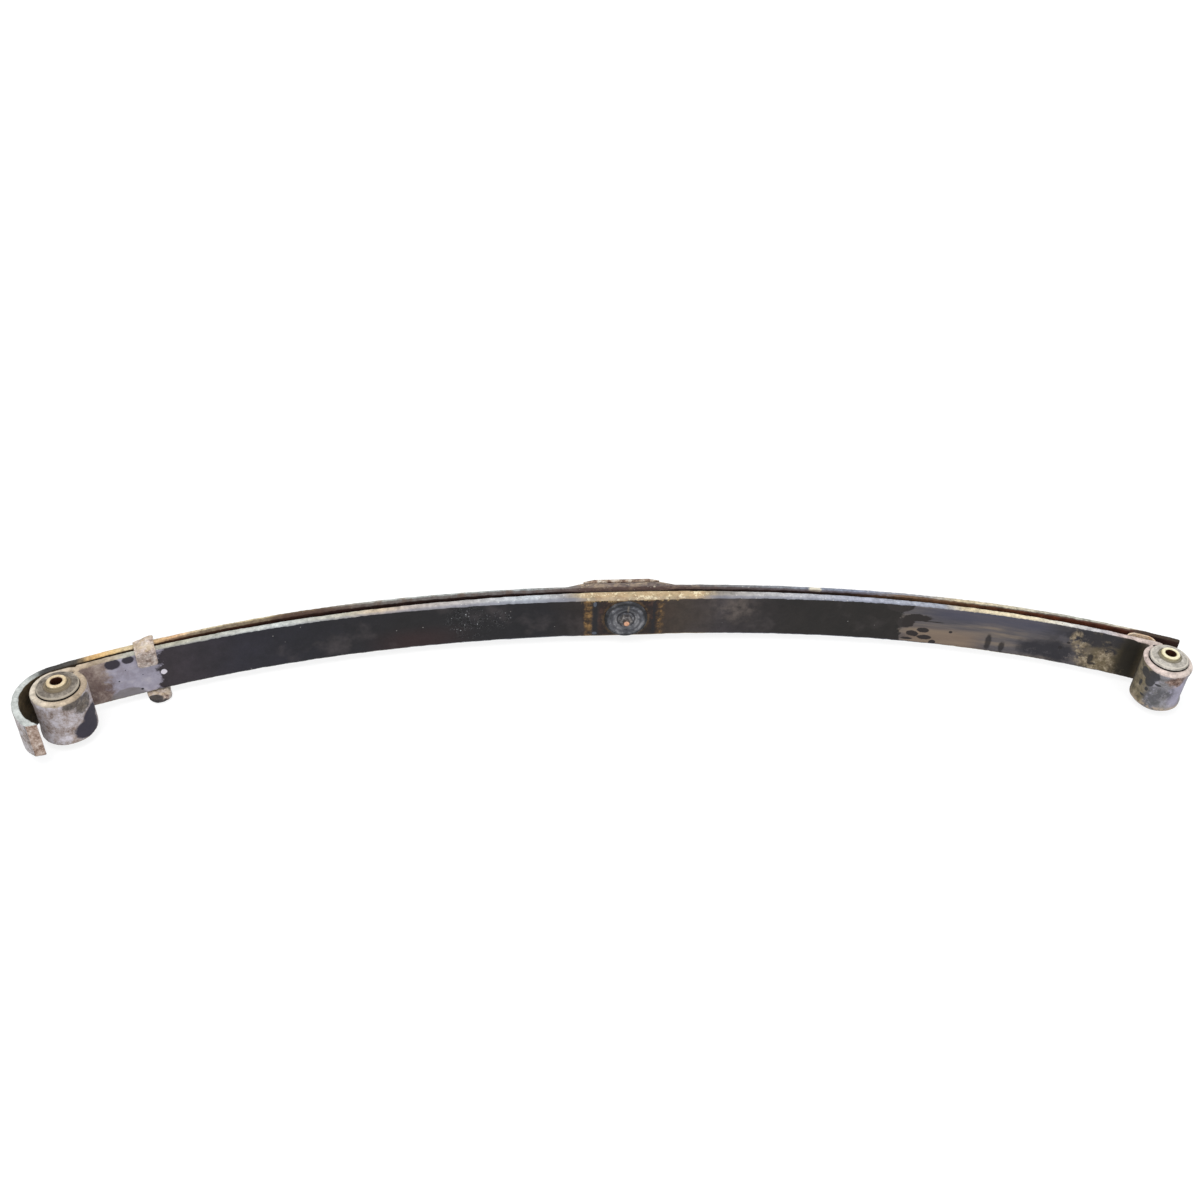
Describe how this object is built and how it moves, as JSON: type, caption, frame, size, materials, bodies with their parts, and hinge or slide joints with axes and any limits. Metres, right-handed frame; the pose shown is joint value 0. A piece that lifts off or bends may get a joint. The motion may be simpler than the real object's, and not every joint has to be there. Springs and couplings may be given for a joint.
{
  "type": "leaf spring",
  "caption": "Bowed parabolic leaf spring with a full-length second leaf, rolled eyes with rubber bushes, a centre bolt with axle spacer and cup washer, and a rebound clip.",
  "frame": {"origin": "on the centre bolt's axis where its dowel head leaves the axle seat, the outer face of the axle spacer", "axes": "+X along the spring towards the eye with the bowed tip pad, +Y towards the axle along the centre bolt, Z across the leaf width"},
  "size_m": [1.5359, 0.2646, 0.091],
  "materials": {
    "main_leaf_paint": "satin black paint, worn",
    "second_leaf_paint": "worn paint, rusted and dusty",
    "liner": "matt",
    "spacer_steel": "rusted paint",
    "bolt_steel": "rust tinted",
    "nut_steel": "dull",
    "cup_paint": "worn black paint",
    "clip_steel": "muddy, dull",
    "rivet_steel": "dull",
    "left_pad": "matt",
    "right_pad_steel": "dull, rust tinted",
    "bush_shell_steel": "dull",
    "bush_rubber": "dusty",
    "bush_sleeve_steel": "dull, plated"
  },
  "bodies": {
    "spring": {"main_leaf": "main_leaf_paint", "second_leaf": "second_leaf_paint", "interleaf_liner": "liner", "axle_spacer": "spacer_steel", "centre_bolt": "bolt_steel", "centre_nut": "nut_steel", "cup_washer": "cup_paint", "rebound_clip": "clip_steel", "clip_rivet": "rivet_steel", "right_pad_rivet": "rivet_steel", "left_tip_pad": "left_pad", "right_tip_pad": "right_pad_steel", "left_bush_shell": "bush_shell_steel", "right_bush_shell": "bush_shell_steel", "left_bush_rubber": "bush_rubber", "right_bush_rubber": "bush_rubber"},
    "left_sleeve": {"left_bush_sleeve": "bush_sleeve_steel"},
    "right_sleeve": {"right_bush_sleeve": "bush_sleeve_steel"}
  },
  "joints": [
    {"name": "left_sleeve_twist", "type": "hinge", "parent": "spring", "child": "left_sleeve", "pos_m": [-0.72557, -0.19294, 0], "axis": [0, 0, 1], "range_deg": [-20, 20], "stiffness_Nm_per_rad": 60},
    {"name": "right_sleeve_twist", "type": "hinge", "parent": "spring", "child": "right_sleeve", "pos_m": [0.72301, -0.20246, 0], "axis": [0, 0, 1], "range_deg": [-20, 20], "stiffness_Nm_per_rad": 60}
  ]
}
